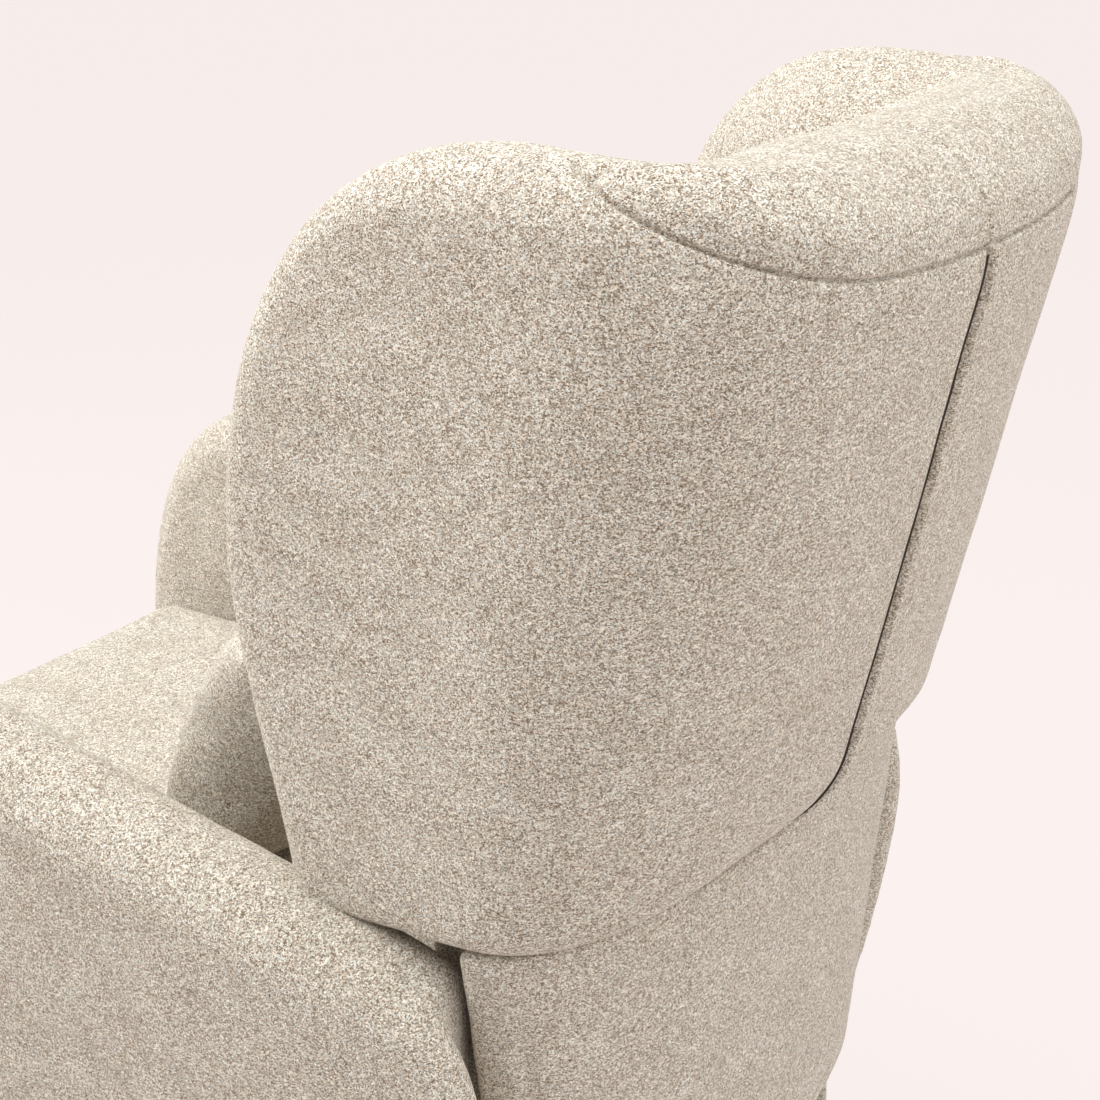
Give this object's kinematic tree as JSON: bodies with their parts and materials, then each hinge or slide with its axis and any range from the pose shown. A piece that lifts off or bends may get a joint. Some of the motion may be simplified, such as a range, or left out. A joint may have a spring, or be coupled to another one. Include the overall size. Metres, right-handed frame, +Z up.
{
  "type": "glider nursery chair",
  "caption": "Upholstered wing-back nursery chair that swivels, glides on hanging links and reclines, with rounded arms and a loose lumbar pillow.",
  "frame": {"origin": "on the floor, on the swivel axis", "axes": "+Z up, the sitter faces -Y, +X is the sitter's left"},
  "size_m": [0.722, 0.9863, 1.06],
  "materials": {
    "cover_fabric": "oat melange boucle weave",
    "dust_cloth": "black nonwoven cloth",
    "webbing": "elastic webbing",
    "zipper_tape": "woven zipper tape under a lap",
    "timber": "bare plywood and pine",
    "black_steel": "black powder coat",
    "bright_steel": "zinc plated",
    "nylon": "natural nylon",
    "black_plastic": "moulded",
    "rubber_pad": "non-slip"
  },
  "bodies": {
    "base": {"base_disc": "black_steel", "floor_pads": "rubber_pad", "lower_bearing_plate": "bright_steel", "base_bolts": "bright_steel", "kingpin": "bright_steel", "bearing_balls": "bright_steel", "ball_cage": "nylon"},
    "glide_base": {"upper_bearing_plate": "bright_steel", "turntable_bolts": "bright_steel", "glide_base_plate": "black_steel", "glide_upright_left": "black_steel", "glide_upright_right": "black_steel", "upper_pivot_pins": "bright_steel"},
    "front_left_link": {"link_front_left": "black_steel", "bushes_front_left": "nylon"},
    "front_right_link": {"link_front_right": "black_steel", "bushes_front_right": "nylon"},
    "rear_left_link": {"link_rear_left": "black_steel", "bushes_rear_left": "nylon"},
    "rear_right_link": {"link_rear_right": "black_steel", "bushes_rear_right": "nylon"},
    "backrest": {"wing_left": "cover_fabric", "wing_right": "cover_fabric", "back_pad": "cover_fabric", "back_foot_pad": "cover_fabric", "rear_panel": "cover_fabric", "back_post_left": "timber", "back_post_right": "timber", "back_rails": "timber", "back_webbing": "webbing", "recline_arm_left": "black_steel", "recline_arm_right": "black_steel", "back_zipper": "zipper_tape"},
    "lever": {"release_lever": "black_plastic"},
    "pillow": {"lumbar_pillow": "cover_fabric"},
    "chassis": {"arm_frame_left": "timber", "arm_frame_right": "timber", "arm_pad_left": "cover_fabric", "arm_pad_right": "cover_fabric", "chassis_plate_left": "black_steel", "chassis_plate_right": "black_steel", "cross_tube_front": "black_steel", "dust_cover": "dust_cloth", "frame_fasteners": "bright_steel", "front_panel": "cover_fabric", "hinge_bracket_left": "black_steel", "hinge_bracket_right": "black_steel", "lever_bezel": "black_plastic", "lower_pivot_pins": "bright_steel", "rear_apron": "cover_fabric", "recline_lock": "black_steel", "recline_pins": "bright_steel", "release_cable": "black_plastic", "seat_cushion": "cover_fabric", "seat_rail_front": "timber", "seat_rail_left": "timber", "seat_rail_rear": "timber", "seat_rail_right": "timber", "seat_webbing": "webbing"}
  },
  "joints": [
    {"name": "swivel", "type": "hinge", "parent": "base", "child": "glide_base", "pos_m": [0, 0, 0.02], "axis": [0, 0, 1], "continuous": true},
    {"name": "glide", "type": "hinge", "parent": "glide_base", "child": "front_left_link", "pos_m": [0.2095, -0.11, 0.215], "axis": [1, 0, 0], "range_deg": [-18, 18]},
    {"name": "glide_front_right", "type": "hinge", "parent": "glide_base", "child": "front_right_link", "pos_m": [-0.2095, -0.11, 0.215], "axis": [1, 0, 0], "range_deg": [-18, 18]},
    {"name": "glide_rear_left", "type": "hinge", "parent": "glide_base", "child": "rear_left_link", "pos_m": [0.2095, 0.11, 0.215], "axis": [1, 0, 0], "range_deg": [-18, 18]},
    {"name": "glide_rear_right", "type": "hinge", "parent": "glide_base", "child": "rear_right_link", "pos_m": [-0.2095, 0.11, 0.215], "axis": [1, 0, 0], "range_deg": [-18, 18]},
    {"name": "seat_level", "type": "hinge", "parent": "front_left_link", "child": "chassis", "pos_m": [0.2095, -0.11, 0.065], "axis": [1, 0, 0], "range_deg": [-18, 18]},
    {"name": "recline", "type": "hinge", "parent": "chassis", "child": "backrest", "pos_m": [0, 0.262, 0.32], "axis": [-1, 0, 0], "range_deg": [0, 24]},
    {"name": "release", "type": "hinge", "parent": "chassis", "child": "lever", "pos_m": [-0.3, -0.215, 0.276], "axis": [-1, 0, 0], "range_deg": [0, 30], "stiffness_Nm_per_rad": 3, "springref_deg": -17.19},
    {"name": "pillow_lift", "type": "slide", "parent": "chassis", "child": "pillow", "axis": [0, 0, 1], "range_m": [0, 0.25]}
  ],
  "couplings": [
    {"joint": "glide_front_right", "follows": "glide", "ratio": 1},
    {"joint": "glide_rear_left", "follows": "glide", "ratio": 1},
    {"joint": "glide_rear_right", "follows": "glide", "ratio": 1},
    {"joint": "seat_level", "follows": "glide", "ratio": -1}
  ]
}
